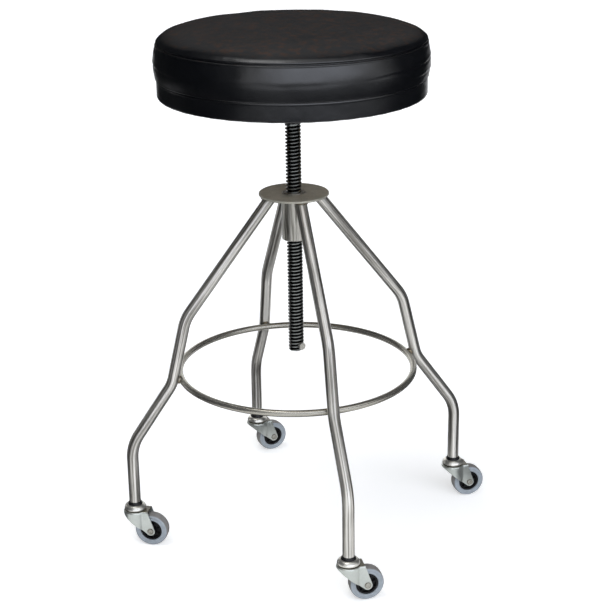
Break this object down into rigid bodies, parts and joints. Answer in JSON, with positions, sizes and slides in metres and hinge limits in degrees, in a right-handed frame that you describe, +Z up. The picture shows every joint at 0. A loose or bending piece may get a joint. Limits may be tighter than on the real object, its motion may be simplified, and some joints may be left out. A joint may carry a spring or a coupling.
{
  "type": "revolving stool",
  "caption": "Backless revolving stool: round padded seat on a threaded lift screw, splayed bent tube legs joined by a foot ring, small swivel casters.",
  "frame": {"origin": "on the floor, on the axis of the lift screw", "axes": "+Z up along the lift screw; the legs stand on the diagonals of X and Y, and the picture looks from the front, between -Y and +X"},
  "size_m": [0.4054, 0.4075, 0.7416],
  "materials": {
    "vinyl": "satin",
    "foam": "matte",
    "plywood": "matte",
    "black_paint": "satin",
    "dark_screw": "satin",
    "bright_screw": "polished",
    "grey_washer": "satin",
    "grey_plate": "matte",
    "stainless": "satin",
    "black_plastic": "satin",
    "zinc_steel": "satin",
    "chrome": "polished",
    "black_core": "satin",
    "tread": "satin"
  },
  "bodies": {
    "frame": {"top_plate": "grey_plate", "hub": "stainless", "plate_welds": "stainless", "foot_ring": "stainless", "ring_welds": "stainless", "leg_front_left": "stainless", "leg_front_right": "stainless", "leg_back_right": "stainless", "leg_back_left": "stainless", "socket_front_left": "black_plastic", "stem_front_left": "zinc_steel", "race_cover_front_left": "chrome", "socket_front_right": "black_plastic", "stem_front_right": "zinc_steel", "race_cover_front_right": "chrome", "socket_back_right": "black_plastic", "stem_back_right": "zinc_steel", "race_cover_back_right": "chrome", "socket_back_left": "black_plastic", "stem_back_left": "zinc_steel", "race_cover_back_left": "chrome"},
    "washer": {"wear_washer": "grey_washer"},
    "seat": {"seat_cover": "vinyl", "seat_foam": "foam", "seat_board": "plywood", "tee_nuts": "zinc_steel", "mount_disc": "black_paint", "mount_screws": "bright_screw", "screw_boss": "black_paint", "lift_screw": "dark_screw", "stop_bolt": "bright_screw"},
    "caster_front_left": {"fork_front_left": "zinc_steel", "race_balls_front_left": "zinc_steel", "axle_front_left": "zinc_steel", "axle_sleeve_front_left": "zinc_steel"},
    "wheel_front_left": {"wheel_core_front_left": "black_core", "tyre_front_left": "tread"},
    "caster_front_right": {"fork_front_right": "zinc_steel", "race_balls_front_right": "zinc_steel", "axle_front_right": "zinc_steel", "axle_sleeve_front_right": "zinc_steel"},
    "wheel_front_right": {"wheel_core_front_right": "black_core", "tyre_front_right": "tread"},
    "caster_back_right": {"fork_back_right": "zinc_steel", "race_balls_back_right": "zinc_steel", "axle_back_right": "zinc_steel", "axle_sleeve_back_right": "zinc_steel"},
    "wheel_back_right": {"wheel_core_back_right": "black_core", "tyre_back_right": "tread"},
    "caster_back_left": {"fork_back_left": "zinc_steel", "race_balls_back_left": "zinc_steel", "axle_back_left": "zinc_steel", "axle_sleeve_back_left": "zinc_steel"},
    "wheel_back_left": {"wheel_core_back_left": "black_core", "tyre_back_left": "tread"}
  },
  "joints": [
    {"name": "seat_turn", "type": "hinge", "parent": "frame", "child": "washer", "pos_m": [0, 0, 0.508], "axis": [0, 0, 1], "range_deg": [-7030, 11005]},
    {"name": "seat_lift", "type": "slide", "parent": "washer", "child": "seat", "axis": [0, 0, 1], "range_m": [-0.0977, 0.1529]},
    {"name": "swivel_front_left", "type": "hinge", "parent": "frame", "child": "caster_front_left", "pos_m": [-0.17395, -0.17395, 0.054], "axis": [0, 0, 1], "continuous": true},
    {"name": "roll_front_left", "type": "hinge", "parent": "caster_front_left", "child": "wheel_front_left", "pos_m": [-0.15126, -0.16614, 0.024], "axis": [-0.3256, 0.9455, 0], "continuous": true},
    {"name": "swivel_front_right", "type": "hinge", "parent": "frame", "child": "caster_front_right", "pos_m": [0.17395, -0.17395, 0.054], "axis": [0, 0, 1], "continuous": true},
    {"name": "roll_front_right", "type": "hinge", "parent": "caster_front_right", "child": "wheel_front_right", "pos_m": [0.19206, -0.1582, 0.024], "axis": [-0.6561, 0.7547, 0], "continuous": true},
    {"name": "swivel_back_right", "type": "hinge", "parent": "frame", "child": "caster_back_right", "pos_m": [0.17395, 0.17395, 0.054], "axis": [0, 0, 1], "continuous": true},
    {"name": "roll_back_right", "type": "hinge", "parent": "caster_back_right", "child": "wheel_back_right", "pos_m": [0.19121, 0.19062, 0.024], "axis": [-0.6947, 0.7193, 0], "continuous": true},
    {"name": "swivel_back_left", "type": "hinge", "parent": "frame", "child": "caster_back_left", "pos_m": [-0.17395, 0.17395, 0.054], "axis": [0, 0, 1], "continuous": true},
    {"name": "roll_back_left", "type": "hinge", "parent": "caster_back_left", "child": "wheel_back_left", "pos_m": [-0.15984, 0.19337, 0.024], "axis": [-0.809, 0.5878, 0], "continuous": true}
  ],
  "couplings": [
    {"joint": "seat_lift", "follows": "seat_turn", "m_per_rad": 0.00079577}
  ]
}
